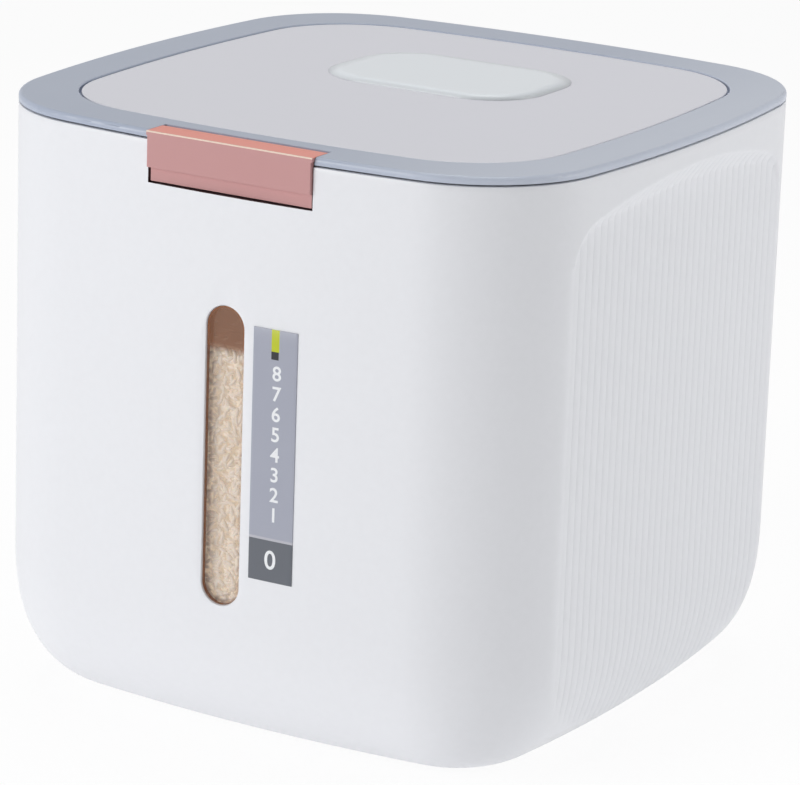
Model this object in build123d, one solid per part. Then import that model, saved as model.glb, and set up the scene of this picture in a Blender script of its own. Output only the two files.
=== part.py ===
from build123d import *
import os
from math import atan2, cos, radians, sin, sqrt, tan

# Rice bin with a flip lid. Millimetres, +Z up, front towards -Y.
# The origin is the middle of the footprint, on the floor under the feet.

# ---------------------------------------------------------------- driving sizes

# plan of the bin: a square with bowed sides and round corners
HALF_WIDTH = 130.0
SIDE_RADIUS = 692.0
CORNER_RADIUS = 53.8

# heights above the floor
TOP = 244.2
LID_FRAME_THICK = 2.9
LID_FRAME_ROUND = 1.6
LID_FRAME_INNER_ROUND = 0.6
LID_SEAT_GAP = 0.8

# shell of the bin
WALL = 2.5
FLOOR_THICK = 3.0
BASE_CORNER_RADIUS = 5.4
ROUNDING_RISE = 60.8
ROUNDING_POWER = 2.53
ROUNDING_STEPS = 10

# feet
FOOT_RADIUS = 8.0
FOOT_INSET = 70.0
FOOT_PROUD = 1.5
FOOT_SUNK = 1.0
FOOT_BEVEL = 0.5

# fluted panels: a flat face let into each bowed side, under an arch with a cove
FACE_INSET = 6.4
FLUTE_PITCH = 5.18
FLUTE_COUNT = 33
FLUTE_DEPTH = 0.7
FLUTE_CREST_INSET = 0.1
ARCH_BELOW_TOP = 19.9
ARCH_RADIUS = 577.0
ARCH_CORNER = 14.0
COVE_TURN = 52.4

# window and label on the front
WINDOW_WIDTH = 17.0
WINDOW_HEIGHT = 118.9
WINDOW_CENTRE = 122.3
PANE_RECESS = 0.8
PANE_FLANGE = 4.0
PANE_FLANGE_THICK = 1.6
LABEL_WIDTH = 19.1
LABEL_HEIGHT = 99.4
LABEL_GAP = 4.6
LABEL_BOTTOM = 76.8
LABEL_THICK = 0.35

# ring in the mouth of the bin, and the housings of latch and hinges in it
MOUTH_CLEARANCE = 1.3
DECK_THICK = 2.0
DECK_SUNK = 2.0
RING_SKIRT = 15.0
RING_WALL = 2.0

# lid panel, set into the lid frame
RIM_WIDTH = 21.6
PANEL_SIDE_RADIUS = 745.0
PANEL_CORNER_RADIUS = 44.5
PANEL_THICK = 2.5
PANEL_SUNK = 0.3
PANEL_GAP = 1.0
PANEL_ROUND = 0.5
LEDGE_WIDTH = 4.5
LEDGE_THICK = 2.0
WEB_THICK = 1.2

# raised pad on the lid panel, over the desiccant box
PAD_WIDTH = 76.6
PAD_DEPTH = 64.0
PAD_CENTRE = (3.3, 27.8)
PAD_CORNER = 17.0
PAD_HEIGHT = 1.2
PAD_SKIRT = 7.5

# desiccant box under the pad
BOX_WIDTH = 72.0
BOX_DEPTH = 58.0
BOX_HEIGHT = 9.6
BOX_WALL = 1.6
BOX_CORNER = 8.5
BOX_CENTRE_Y = 25.0
COVER_THICK = 1.5
COVER_SLOT = 3.0
COVER_SLOT_COUNT = 8
COVER_MARGIN = 9.0

# seal and liner
SEAL_BEHIND_LATCH = 0.6
SEAL_WIDTH = 3.6
SEAL_RIB = 2.6
SEAL_RIB_DROP = 1.7
LINER_THICK = 1.6
LINER_MARGIN = 0.2
SCREW_RADIUS = 1.1
SCREW_BITE = 0.9
SCREW_HOLE_DEPTH = 1.25
SCREW_HEAD_RADIUS = 2.4
SCREW_HEAD_THICK = 1.0
SCREW_INSET = 24.4
SCREW_CORNER_INSET = 41.2
BOSS_RADIUS = 3.0

# rear hinge
HINGE_INSET = 3.7
HINGE_BELOW_SEAT = 4.5
KNUCKLE_RADIUS = 3.4
HINGE_PIN_RADIUS = 1.5
HINGE_SPACING = 104.0
LID_KNUCKLE = 11.4
BIN_KNUCKLE = 8.0
KNUCKLE_GAP = 0.3
REAR_POCKET_WIDTH = 152.0
REAR_POCKET_DROP = 16.2
REAR_POCKET_DEPTH = 9.5

# front latch: an L-shaped clasp that turns on the lid frame
LATCH_PLATE_WIDTH = 72.4
LATCH_LEG_OVERHANG = 0.1
LATCH_PROUD = 0.6
LATCH_LEG_THICK = 1.8
LATCH_PLATE_THICK = 2.2
LATCH_PLATE_DROP = 14.0
LATCH_LIP_DROP = 19.6
LATCH_LIP_SETBACK = 2.2
LATCH_LIP_THICK = 1.8
LATCH_LIP_INSET = 0.4
LATCH_SHELF = 1.6
LATCH_EDGE_BEVEL = 0.5
LATCH_PIVOT_INSET = 10.4
LATCH_BARREL_RADIUS = 2.2
LATCH_BARREL_SUNK = 0.1
LATCH_PIN_RADIUS = 1.0
LATCH_EAR = 4.5
LATCH_EAR_DROP = 1.8
POCKET_SIDE_GAP = 0.5
POCKET_FLOOR_GAP = 0.7
FRONT_POCKET_DEPTH = 9.0
CATCH_WIDTH = 56.0
CATCH_RIDGE = 3.6
CATCH_RIDGE_DROP = 15.6
CATCH_RIDGE_THICK = 2.0
CATCH_NOSE_HEIGHT = 2.0
CATCH_CLEARANCE = 0.3

# clearances between pieces
RUNNING = 0.06
GLUE = 0.05
SLIP = 0.3

# ---------------------------------------------------------------- places worked out

SEAT = TOP - LID_FRAME_THICK
WALL_TOP = SEAT - LID_SEAT_GAP
BASE = FOOT_PROUD
ROUNDING_RUN = CORNER_RADIUS - BASE_CORNER_RADIUS
FOOT_SPREAD = HALF_WIDTH - FOOT_INSET
ARCH_TOP = TOP - ARCH_BELOW_TOP
FACE = HALF_WIDTH - FACE_INSET
FACE_WALL = WALL + FLUTE_DEPTH
FLUTE_HALF = FLUTE_COUNT * FLUTE_PITCH / 2
PANEL_HALF = HALF_WIDTH - RIM_WIDTH
MOUTH_INSET = RIM_WIDTH - PANEL_GAP - WEB_THICK - MOUTH_CLEARANCE
DECK_TOP = WALL_TOP - DECK_SUNK
PANEL_TOP = TOP - PANEL_SUNK
PANEL_BOTTOM = PANEL_TOP - PANEL_THICK
LEDGE_BOTTOM = PANEL_BOTTOM - LEDGE_THICK
SCREW_SPREAD = PANEL_HALF - SCREW_INSET
SCREW_CORNER_SPREAD = PANEL_HALF - SCREW_CORNER_INSET
HINGE_Y = HALF_WIDTH - HINGE_INSET
HINGE_Z = SEAT - HINGE_BELOW_SEAT
REAR_POCKET_FLOOR = TOP - REAR_POCKET_DROP
REAR_POCKET_BACK = HALF_WIDTH - REAR_POCKET_DEPTH
FRONT_POCKET_WIDTH = LATCH_PLATE_WIDTH + 2 * POCKET_SIDE_GAP
FRONT_POCKET_FLOOR = TOP - LATCH_LIP_DROP - POCKET_FLOOR_GAP
FRONT_POCKET_BACK = HALF_WIDTH - FRONT_POCKET_DEPTH
CATCH_RIDGE_BOTTOM = TOP - CATCH_RIDGE_DROP
LATCH_LEG_WIDTH = FRONT_POCKET_WIDTH + 2 * LATCH_LEG_OVERHANG
LATCH_PLATE_BOTTOM = TOP - LATCH_PLATE_DROP
LATCH_LIP_BOTTOM = TOP - LATCH_LIP_DROP
LATCH_PIVOT_Y = LATCH_PIVOT_INSET - HALF_WIDTH
LATCH_PIVOT_Z = TOP - LATCH_BARREL_RADIUS - LATCH_BARREL_SUNK
SEAL_INSET = LATCH_PIVOT_INSET + LATCH_BARREL_RADIUS + SEAL_BEHIND_LATCH
FAR = 2 * HALF_WIDTH + TOP


# ---------------------------------------------------------------- helpers

def bowed_square(half, side_radius, corner_radius):
    """Face of a square with four bowed side arcs and four tangent corner arcs."""
    past = side_radius - half
    reach = side_radius - corner_radius
    corner = (sqrt(2 * reach**2 - past**2) - past) / 2
    turn = atan2(corner, corner + past)
    x = side_radius * cos(turn) - past
    y = side_radius * sin(turn)
    bulge = corner + corner_radius / sqrt(2)
    edges = []
    for quarter in range(4):
        side = ThreePointArc((x, -y), (half, 0), (x, y))
        bend = ThreePointArc((x, y), (bulge, bulge), (y, x))
        edges += [Rot(0, 0, 90 * quarter) * arc for arc in (side, bend)]
    return make_face(edges)


def bin_plan(inset):
    """The bin's plan, drawn in by inset all round."""
    return bowed_square(HALF_WIDTH - inset, SIDE_RADIUS - inset, CORNER_RADIUS - inset)


def panel_plan(inset):
    """The lid panel's plan, drawn in by inset all round."""
    return bowed_square(PANEL_HALF - inset, PANEL_SIDE_RADIUS - inset, PANEL_CORNER_RADIUS - inset)


def slab(plan, low, high):
    """A plan extruded from one height to another."""
    return Pos(0, 0, low) * extrude(plan, high - low)


def ring(outer, inner, low, high):
    """The wall between two plans, from one height to another."""
    return slab(outer, low, high) - slab(inner, low, high)


def block(x, y, z):
    """A box given by its two limits along each axis."""
    size = [limits[1] - limits[0] for limits in (x, y, z)]
    middle = [(limits[0] + limits[1]) / 2 for limits in (x, y, z)]
    return Pos(*middle) * Box(*size)


def rod(radius, x, y, z):
    """A round bar along X, between two limits, about the axis at y, z."""
    bar = Cylinder(radius, x[1] - x[0], rotation=(0, 90, 0))
    return Pos((x[0] + x[1]) / 2, y, z) * bar


def post(radius, x, y, low, high):
    """A round bar along Z."""
    return Pos(x, y, (low + high) / 2) * Cylinder(radius, high - low)


def both_sides(shape):
    """A shape on the right and its mirror image on the left."""
    return shape + mirror(shape, about=Plane.YZ)


# ---------------------------------------------------------------- the bin

def bin_shape(inset, base, run, rise, banded=False):
    """Solid with upright sides and a bottom edge rounded along a superellipse, in bands if asked."""
    sections = []
    for step in range(ROUNDING_STEPS + 1):
        turn = radians(90 * step / ROUNDING_STEPS)
        drawn_in = run * (1 - sin(turn)**(2 / ROUNDING_POWER))
        height = base + rise * (1 - cos(turn)**(2 / ROUNDING_POWER))
        sections.append(Pos(0, 0, height) * bin_plan(inset + drawn_in))
    return loft(sections, ruled=banded) + slab(bin_plan(inset), base + rise, WALL_TOP)


def face_outline(grow):
    """The fluted face's outline, grown all round: upright sides under an arch."""
    low, high = BASE - grow, TOP + grow
    sides = Pos(0, (low + high) / 2) * Rectangle(2 * (FLUTE_HALF + grow), high - low)
    arch = sides & (Pos(0, ARCH_TOP - ARCH_RADIUS) * Circle(ARCH_RADIUS + grow))
    return fillet(arch.vertices().group_by(Axis.Y)[-1], ARCH_CORNER + grow)


def side_recess(wall):
    """Room in front of the two flat faces and their coves, with its bounds moved inwards by wall."""
    turn = radians(COVE_TURN)
    face = FACE - wall
    reach = HALF_WIDTH + WALL - face
    grow = wall * (1 - sin(turn)) / cos(turn)
    sections = [(face, grow), (face + reach, grow + reach * tan(turn))]
    return both_sides(loft([Pos(x, 0, 0) * (Plane.YZ * face_outline(g)) for x, g in sections], ruled=True))


def flute_cutter():
    """What the upright flutes take out of the two flat faces."""
    edges = []
    for flute in range(FLUTE_COUNT):
        start = -FLUTE_HALF + flute * FLUTE_PITCH
        valley = (FACE - FLUTE_DEPTH, start)
        crest = (FACE - FLUTE_CREST_INSET, start + FLUTE_PITCH / 2)
        edges.append(ThreePointArc(valley, crest, (FACE - FLUTE_DEPTH, start + FLUTE_PITCH)))
    valley, outside = FACE - FLUTE_DEPTH, FACE + FLUTE_DEPTH
    corners = ((valley, FLUTE_HALF), (outside, FLUTE_HALF), (outside, -FLUTE_HALF), (valley, -FLUTE_HALF))
    edges += Polyline(*corners).edges()
    zone = extrude(Pos(valley, 0, 0) * (Plane.YZ * face_outline(0)), outside - valley)
    return both_sides(slab(make_face(edges), BASE, ARCH_TOP) & zone)


def window_slot(grow):
    """The window's upright slot, grown all round, as a bar from the middle out of the front."""
    slot = SlotOverall(WINDOW_HEIGHT + 2 * grow, WINDOW_WIDTH + 2 * grow, rotation=90)
    return extrude(Plane.XZ * (Pos(0, WINDOW_CENTRE) * slot), HALF_WIDTH + WALL)


def front_pocket(grow, floor_grow):
    """The latch's pocket, grown sideways and backwards, and down."""
    half = FRONT_POCKET_WIDTH / 2 + grow
    back = -FRONT_POCKET_BACK + grow
    return block((-half, half), (-FAR, back), (FRONT_POCKET_FLOOR - floor_grow, TOP))


def rear_pocket(grow, floor_grow):
    """The hinge's pocket, grown sideways and forwards, and down."""
    half = REAR_POCKET_WIDTH / 2 + grow
    front = REAR_POCKET_BACK - grow
    return block((-half, half), (front, FAR), (REAR_POCKET_FLOOR - floor_grow, TOP))


def make_bin_body():
    """The outer shell, with the fluted faces, the window and two notches in its upper edge."""
    outer = bin_shape(0, BASE, ROUNDING_RUN, ROUNDING_RISE)
    inner = bin_shape(WALL, BASE + FLOOR_THICK, ROUNDING_RUN - WALL, ROUNDING_RISE - FLOOR_THICK, True)
    inner -= side_recess(FACE_WALL)
    shell = outer - side_recess(0) - flute_cutter() - inner
    shell = shell - window_slot(0) - front_pocket(0, 0) - rear_pocket(0, 0)
    for x, y in foot_places():
        shell -= post(FOOT_RADIUS + GLUE, x, y, 0, BASE + FOOT_SUNK)
    return shell


def foot_places():
    """Centres of the feet, front left first."""
    return [(x, y) for y in (-FOOT_SPREAD, FOOT_SPREAD) for x in (-FOOT_SPREAD, FOOT_SPREAD)]


def make_foot(x, y):
    """A rubber button in its recess."""
    foot = post(FOOT_RADIUS, x, y, 0, BASE + FOOT_SUNK - GLUE)
    return chamfer(foot.edges().group_by(Axis.Z)[0], FOOT_BEVEL)


def make_window_pane():
    """Clear pane: a plug that fills the slot, on a flange glued inside the wall."""
    low = WINDOW_CENTRE - WINDOW_HEIGHT
    high = WINDOW_CENTRE + WINDOW_HEIGHT
    back = WALL + GLUE + PANE_FLANGE_THICK
    plug = window_slot(-SLIP / 2) & ring(bin_plan(PANE_RECESS), bin_plan(back), low, high)
    flange = window_slot(PANE_FLANGE) & ring(bin_plan(WALL + GLUE), bin_plan(back), low, high)
    return plug + flange


def make_label():
    """Thin plate stuck on the front, beside the window."""
    left = WINDOW_WIDTH / 2 + LABEL_GAP
    low, high = LABEL_BOTTOM, LABEL_BOTTOM + LABEL_HEIGHT
    skin = ring(bin_plan(-LABEL_THICK), bin_plan(-GLUE / 2), low, high)
    return skin & block((left, left + LABEL_WIDTH), (-FAR, 0), (low, high))


def knuckles(width, places):
    """Round hinge knuckles about the hinge axis."""
    return [rod(KNUCKLE_RADIUS, (x - width / 2, x + width / 2), HINGE_Y, HINGE_Z) for x in places]


def bin_knuckle_places():
    """Middles of the four knuckles on the bin's side, two beside each of the lid's."""
    step = LID_KNUCKLE / 2 + KNUCKLE_GAP + BIN_KNUCKLE / 2
    middles = (-HINGE_SPACING / 2, HINGE_SPACING / 2)
    return [x + side * step for x in middles for side in (-1, 1)]


def make_mouth_ring():
    """Ring glued inside the bin's mouth: a deck for the seal, notched for both housings.
    Its skirt stops where the flat faces come in."""
    inside = bin_plan(WALL + GLUE)
    deck_low = DECK_TOP - DECK_THICK
    body = ring(inside, bin_plan(MOUTH_INSET), deck_low, DECK_TOP)
    body += ring(inside, bin_plan(WALL + RING_WALL), deck_low - RING_SKIRT, deck_low)
    notch = RING_WALL + GLUE
    body = body - front_pocket(notch, notch) - rear_pocket(notch, notch)
    return body - side_recess(FACE_WALL + GLUE)


def housing_room():
    """The space under the deck's top that a housing may fill."""
    return slab(bin_plan(WALL + GLUE), DECK_TOP - DECK_THICK - RING_SKIRT, DECK_TOP)


def make_latch_housing():
    """Pocket for the latch, glued into the mouth ring, with the ridge that the latch catches."""
    body = housing_room() & front_pocket(RING_WALL, RING_WALL)
    body -= front_pocket(0, 0)
    ridge_front = -FRONT_POCKET_BACK - CATCH_RIDGE
    half = CATCH_WIDTH / 2
    ridge_top = CATCH_RIDGE_BOTTOM + CATCH_RIDGE_THICK
    ridge = block((-half, half), (ridge_front, -FRONT_POCKET_BACK), (CATCH_RIDGE_BOTTOM, ridge_top))
    return body + ridge


def make_hinge_housing():
    """Pocket for the hinges, glued into the mouth ring, with the bin's four knuckles."""
    body = housing_room() & rear_pocket(RING_WALL, RING_WALL)
    body -= rear_pocket(0, 0)
    for x in bin_knuckle_places():
        across = (x - BIN_KNUCKLE / 2, x + BIN_KNUCKLE / 2)
        upright = (HINGE_Z - KNUCKLE_RADIUS, HINGE_Z + KNUCKLE_RADIUS)
        body += block(across, (REAR_POCKET_BACK, HINGE_Y), upright)
    for knuckle in knuckles(BIN_KNUCKLE, bin_knuckle_places()):
        body += knuckle
    return body - rod(HINGE_PIN_RADIUS + RUNNING, (-FAR, FAR), HINGE_Y, HINGE_Z)


def make_hinge_pin(middle):
    """Steel pin through one hinge, flush with the outer knuckles."""
    reach = LID_KNUCKLE / 2 + KNUCKLE_GAP + BIN_KNUCKLE
    return rod(HINGE_PIN_RADIUS, (middle - reach, middle + reach), HINGE_Y, HINGE_Z)


# ---------------------------------------------------------------- the lid

def latch_notch():
    """What the latch takes out of the lid frame's front edge."""
    half = LATCH_LEG_WIDTH / 2 + SLIP
    back = LATCH_PIVOT_Y + LATCH_BARREL_RADIUS + SLIP
    return block((-half, half), (-FAR, back), (0, FAR))


def make_lid_frame():
    """The rim of the lid, with the ledge for the panel, the hinge knuckles and the latch ears."""
    frame = ring(bin_plan(0), panel_plan(-PANEL_GAP), SEAT, TOP)
    top = frame.faces().sort_by(Axis.Z)[-1]
    frame = frame.fillet(LID_FRAME_ROUND, top.outer_wire().edges())
    top = frame.faces().sort_by(Axis.Z)[-1]
    frame = frame.fillet(LID_FRAME_INNER_ROUND, top.inner_wires()[0].edges())
    web = -PANEL_GAP - WEB_THICK
    frame += ring(panel_plan(web), panel_plan(-PANEL_GAP), LEDGE_BOTTOM, SEAT)
    frame += ring(panel_plan(web), panel_plan(LEDGE_WIDTH), LEDGE_BOTTOM, PANEL_BOTTOM)
    rib_outer = SEAL_INSET + SEAL_WIDTH + GLUE
    rib = ring(bin_plan(rib_outer), bin_plan(rib_outer + SEAL_RIB), SEAT - SEAL_RIB_DROP, SEAT)
    frame += rib
    for x in (-HINGE_SPACING / 2, HINGE_SPACING / 2):
        across = (x - LID_KNUCKLE / 2, x + LID_KNUCKLE / 2)
        frame += block(across, (HINGE_Y - KNUCKLE_RADIUS, HINGE_Y), (HINGE_Z, SEAT))
    for knuckle in knuckles(LID_KNUCKLE, (-HINGE_SPACING / 2, HINGE_SPACING / 2)):
        frame += knuckle
    frame -= rod(HINGE_PIN_RADIUS + RUNNING, (-FAR, FAR), HINGE_Y, HINGE_Z)
    inner = LATCH_LEG_WIDTH / 2 + SLIP
    depth = LATCH_BARREL_RADIUS + SLIP
    across_y = (LATCH_PIVOT_Y - depth, LATCH_PIVOT_Y + depth)
    for low, high in ((-inner - LATCH_EAR, -inner), (inner, inner + LATCH_EAR)):
        frame += block((low, high), across_y, (SEAT - LATCH_EAR_DROP, SEAT))
    frame -= latch_notch()
    reach = inner + LATCH_EAR - WEB_THICK
    return frame - rod(LATCH_PIN_RADIUS + GLUE / 2, (-reach, reach), LATCH_PIVOT_Y, LATCH_PIVOT_Z)


def pad_plan(grow):
    """The pad's outline, grown all round."""
    size = (PAD_WIDTH + 2 * grow, PAD_DEPTH + 2 * grow)
    return Pos(*PAD_CENTRE) * RectangleRounded(*size, PAD_CORNER + grow)


def screw_places():
    """Centres of the liner's screws: four corners and four side middles."""
    spread = (-SCREW_CORNER_SPREAD, SCREW_CORNER_SPREAD)
    corners = [(x, y) for x in spread for y in spread]
    middles = [(SCREW_SPREAD, 0), (-SCREW_SPREAD, 0), (0, SCREW_SPREAD), (0, -SCREW_SPREAD)]
    return corners + middles


def make_lid_panel():
    """The panel that fills the lid frame, with its raised pad and screw bosses."""
    panel = slab(panel_plan(0), PANEL_BOTTOM, PANEL_TOP)
    panel = panel.fillet(PANEL_ROUND, panel.faces().sort_by(Axis.Z)[-1].outer_wire().edges())
    low = Pos(0, 0, PANEL_TOP) * pad_plan(PAD_SKIRT)
    high = Pos(0, 0, PANEL_TOP + PAD_HEIGHT) * pad_plan(0)
    panel += loft([low, high], ruled=True)
    for x, y in screw_places():
        panel += post(BOSS_RADIUS, x, y, LEDGE_BOTTOM, PANEL_BOTTOM)
        panel -= post(SCREW_RADIUS + GLUE, x, y, LEDGE_BOTTOM, PANEL_BOTTOM + SCREW_HOLE_DEPTH)
    return panel


def make_lid_seal():
    """Flat silicone ring under the lid frame, just above the deck."""
    outer, inner = bin_plan(SEAL_INSET), bin_plan(SEAL_INSET + SEAL_WIDTH)
    return ring(outer, inner, DECK_TOP + SLIP, SEAT)


def desiccant_shape(grow, low, high):
    """The desiccant box's outline as a solid, grown all round."""
    size = (BOX_WIDTH + 2 * grow, BOX_DEPTH + 2 * grow)
    return slab(Pos(0, BOX_CENTRE_Y) * RectangleRounded(*size, BOX_CORNER + grow), low, high)


def make_lid_liner():
    """Plate that closes the lid from below, screwed to the panel round the desiccant box."""
    liner = slab(panel_plan(-LINER_MARGIN), LEDGE_BOTTOM - LINER_THICK, LEDGE_BOTTOM)
    liner -= desiccant_shape(SLIP / 2, LEDGE_BOTTOM - LINER_THICK, LEDGE_BOTTOM)
    for x, y in screw_places():
        liner -= post(SCREW_RADIUS + GLUE, x, y, LEDGE_BOTTOM - LINER_THICK, LEDGE_BOTTOM)
    return liner


def make_liner_screws():
    """Self-tapping screws, head down, as one group."""
    head_top = LEDGE_BOTTOM - LINER_THICK
    screws = []
    for x, y in screw_places():
        head = post(SCREW_HEAD_RADIUS, x, y, head_top - SCREW_HEAD_THICK, head_top)
        screws.append(head + post(SCREW_RADIUS, x, y, head_top, PANEL_BOTTOM + SCREW_BITE))
    return Compound(screws)


def make_desiccant_box():
    """Tray glued under the panel, open at the bottom."""
    low = PANEL_BOTTOM - BOX_HEIGHT
    box = desiccant_shape(0, low, PANEL_BOTTOM)
    return box - desiccant_shape(-BOX_WALL, low, PANEL_BOTTOM - BOX_WALL)


def make_desiccant_cover():
    """Slotted cover that snaps over the open side of the box."""
    top = PANEL_BOTTOM - BOX_HEIGHT
    rim_room = BOX_WALL + SLIP / 2
    cover = desiccant_shape(0, top - COVER_THICK, top)
    cover += desiccant_shape(-rim_room, top, top + COVER_THICK)
    cover -= desiccant_shape(-rim_room - BOX_WALL, top, top + COVER_THICK)
    pitch = (BOX_WIDTH - 2 * COVER_MARGIN) / (COVER_SLOT_COUNT - 1)
    for slot in range(COVER_SLOT_COUNT):
        x = -BOX_WIDTH / 2 + COVER_MARGIN + slot * pitch
        hole = SlotOverall(BOX_DEPTH - 2 * COVER_MARGIN, COVER_SLOT, rotation=90)
        cover -= slab(Pos(x, BOX_CENTRE_Y) * hole, top - COVER_THICK, top)
    return cover


# ---------------------------------------------------------------- the latch

def make_latch():
    """L-shaped clasp: a leg over the lid frame, a plate down the front and a set-back lip."""
    front = -HALF_WIDTH - LATCH_PROUD
    plate_back = front + LATCH_PLATE_THICK
    leg_half, plate_half = LATCH_LEG_WIDTH / 2, LATCH_PLATE_WIDTH / 2
    lip_half = plate_half - LATCH_LIP_INSET
    lip_front = front + LATCH_LIP_SETBACK
    lip_back = lip_front + LATCH_LIP_THICK
    leg_low = TOP - LATCH_LEG_THICK
    shelf_top = LATCH_PLATE_BOTTOM + LATCH_SHELF
    leg = block((-leg_half, leg_half), (front, LATCH_PIVOT_Y), (leg_low, TOP))
    front_edges = leg.edges().filter_by(Axis.X).group_by(Axis.Y)[0]
    leg = leg.chamfer(LATCH_EDGE_BEVEL, None, front_edges.sort_by(Axis.Z)[-1:])
    clasp = leg + block((-plate_half, plate_half), (front, plate_back), (LATCH_PLATE_BOTTOM, leg_low))
    clasp += block((-lip_half, lip_half), (front, lip_back), (LATCH_PLATE_BOTTOM, shelf_top))
    clasp += block((-lip_half, lip_half), (lip_front, lip_back), (LATCH_LIP_BOTTOM, shelf_top))
    nose_half = CATCH_WIDTH / 2
    nose_back = -FRONT_POCKET_BACK - CATCH_RIDGE - CATCH_CLEARANCE
    nose_top = CATCH_RIDGE_BOTTOM - CATCH_CLEARANCE
    nose_low = nose_top - CATCH_NOSE_HEIGHT
    clasp += block((-nose_half, nose_half), (lip_front, nose_back), (nose_low, nose_top))
    clasp += rod(LATCH_BARREL_RADIUS, (-leg_half, leg_half), LATCH_PIVOT_Y, LATCH_PIVOT_Z)
    return clasp - rod(LATCH_PIN_RADIUS + RUNNING, (-FAR, FAR), LATCH_PIVOT_Y, LATCH_PIVOT_Z)


def make_latch_pin():
    """Thin steel pin from ear to ear of the lid frame."""
    reach = LATCH_LEG_WIDTH / 2 + SLIP + LATCH_EAR - WEB_THICK - GLUE
    return rod(LATCH_PIN_RADIUS, (-reach, reach), LATCH_PIVOT_Y, LATCH_PIVOT_Z)


# ---------------------------------------------------------------- all pieces

pieces = {
    "bin_body": make_bin_body(),
    "mouth_ring": make_mouth_ring(),
    "latch_housing": make_latch_housing(),
    "hinge_housing": make_hinge_housing(),
    "window_pane": make_window_pane(),
    "label_plate": make_label(),
    "hinge_pin_left": make_hinge_pin(-HINGE_SPACING / 2),
    "hinge_pin_right": make_hinge_pin(HINGE_SPACING / 2),
    "lid_frame": make_lid_frame(),
    "lid_panel": make_lid_panel(),
    "lid_seal": make_lid_seal(),
    "lid_liner": make_lid_liner(),
    "liner_screws": make_liner_screws(),
    "desiccant_box": make_desiccant_box(),
    "desiccant_cover": make_desiccant_cover(),
    "latch": make_latch(),
    "latch_pin": make_latch_pin(),
}
foot_names = ("foot_front_left", "foot_front_right", "foot_rear_left", "foot_rear_right")
for name, place in zip(foot_names, foot_places()):
    pieces[name] = make_foot(*place)

os.makedirs("parts", exist_ok=True)
for name, shape in pieces.items():
    export_step(shape, f"parts/{name}.step")
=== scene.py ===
# %% [markdown]
# # A rice bin with a flip lid
# The bin is a square bucket of white plastic with bowed sides and a rounded bottom edge. A grey rim
# and a pale panel make its lid, which swings on a hidden hinge at the back. A rose clasp holds it
# shut at the front, a narrow window shows how much rice is left, and a printed label stands beside it.
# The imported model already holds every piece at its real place, so it is loaded first and kept as it is.

# %% Load the frame
import random
from math import atan2, copysign, cos, hypot, pi, radians, sin, sqrt, tan

import bmesh
import bpy
from mathutils import Euler, Matrix, Vector


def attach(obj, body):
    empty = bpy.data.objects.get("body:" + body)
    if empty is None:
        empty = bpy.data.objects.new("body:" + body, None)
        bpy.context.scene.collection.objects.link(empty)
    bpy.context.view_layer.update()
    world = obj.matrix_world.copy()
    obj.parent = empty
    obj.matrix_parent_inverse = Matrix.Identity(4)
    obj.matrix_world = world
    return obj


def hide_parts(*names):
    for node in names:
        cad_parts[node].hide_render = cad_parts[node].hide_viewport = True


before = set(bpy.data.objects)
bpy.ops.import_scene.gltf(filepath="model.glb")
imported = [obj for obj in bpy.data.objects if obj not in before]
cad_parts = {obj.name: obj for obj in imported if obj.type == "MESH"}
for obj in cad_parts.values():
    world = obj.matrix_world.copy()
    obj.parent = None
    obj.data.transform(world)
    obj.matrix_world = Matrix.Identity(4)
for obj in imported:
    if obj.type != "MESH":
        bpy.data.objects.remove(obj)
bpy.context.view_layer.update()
MM = 0.001
print("pieces in the frame:", len(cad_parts))

# %% [markdown]
# ## The camera
# A photograph fixes four things about its camera: how far it is turned round the object, how far it
# looks down, how far away it stands and how long its lens is. The upright edges of this bin lean
# together only a little, which means a long lens far away. The lens is shifted a trifle, because
# the bin doesn't sit exactly in the middle of the picture.

# %% Camera
PICTURE = (800, 785)
TURN, TILT, LEAN = radians(30.523), radians(16.078), radians(1.966)
DISTANCE = 1.6446
AIM = Vector((0, 0, 0.1221))
SENSOR = 36.0
LENS = 182.1
SHIFT_PIXELS = (1.38, -10.42)

bpy.ops.object.select_all(action="DESELECT")
toward = Vector((sin(TURN) * cos(TILT), -cos(TURN) * cos(TILT), sin(TILT)))
bpy.ops.object.camera_add(location=AIM + toward * DISTANCE)
camera = bpy.context.object
camera.name = "camera"
upright = toward.to_track_quat("Z", "Y").to_matrix()
camera.rotation_euler = (upright @ Matrix.Rotation(LEAN, 3, "Z")).to_euler()
camera.data.sensor_width = SENSOR
camera.data.lens = LENS
camera.data.shift_x, camera.data.shift_y = (pixels / PICTURE[0] for pixels in SHIFT_PIXELS)
bpy.context.scene.camera = camera
print("camera at", [round(n, 3) for n in camera.location])

# %% [markdown]
# ## Shader maths as plain expressions
# A finish is a small network of nodes. Written out node by node it is hard to read, so one class
# wraps a socket and turns `+`, `-`, `*` and `/` into Math nodes, and one method adds any other node.
# A finish then reads like the sentence that describes it.

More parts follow.
